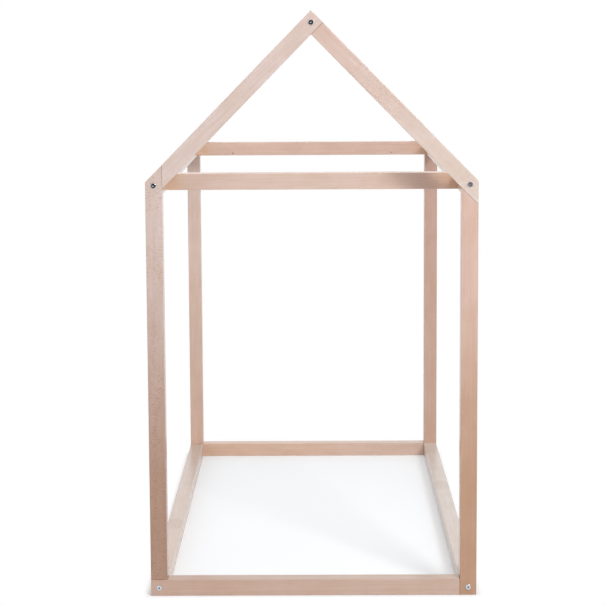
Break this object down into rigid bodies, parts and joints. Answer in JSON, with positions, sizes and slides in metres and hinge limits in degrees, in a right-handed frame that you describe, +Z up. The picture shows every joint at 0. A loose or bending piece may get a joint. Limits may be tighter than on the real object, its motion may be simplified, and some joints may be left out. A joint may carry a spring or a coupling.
{
  "type": "house frame bed",
  "caption": "House-shaped open bed frame for a small child: gables of half-lapped beech members, joined by floor side rails, eave beams, a ridge beam and tie bars. Stands flat on the floor.",
  "frame": {"origin": "on the floor, at the middle of the footprint", "axes": "+Y along the bed's length, from the front gable to the rear one; +X across it; +Z up"},
  "size_m": [0.792, 1.5104, 1.415],
  "materials": {
    "beech": "fine sanded, clear matt oil",
    "zinc_bolt": "bright zinc plated",
    "steel_nut": "zinc plated",
    "beech_dowel": "bare, fluted"
  },
  "bodies": {
    "root": {"front_left_post": "beech", "front_right_post": "beech", "front_left_rafter": "beech", "front_right_rafter": "beech", "front_floor_rail": "beech", "rear_left_post": "beech", "rear_right_post": "beech", "rear_left_rafter": "beech", "rear_right_rafter": "beech", "rear_floor_rail": "beech", "left_side_rail": "beech", "right_side_rail": "beech", "left_eave_beam": "beech", "right_eave_beam": "beech", "ridge_beam": "beech", "front_tie_bar": "beech", "rear_tie_bar": "beech", "front_frame_bolts": "zinc_bolt", "rear_frame_bolts": "zinc_bolt", "tie_bar_bolts": "zinc_bolt", "front_barrel_nuts": "steel_nut", "rear_barrel_nuts": "steel_nut", "tie_bar_barrel_nuts": "steel_nut", "beam_dowels": "beech_dowel", "tie_bar_dowels": "beech_dowel"}
  },
  "joints": []
}
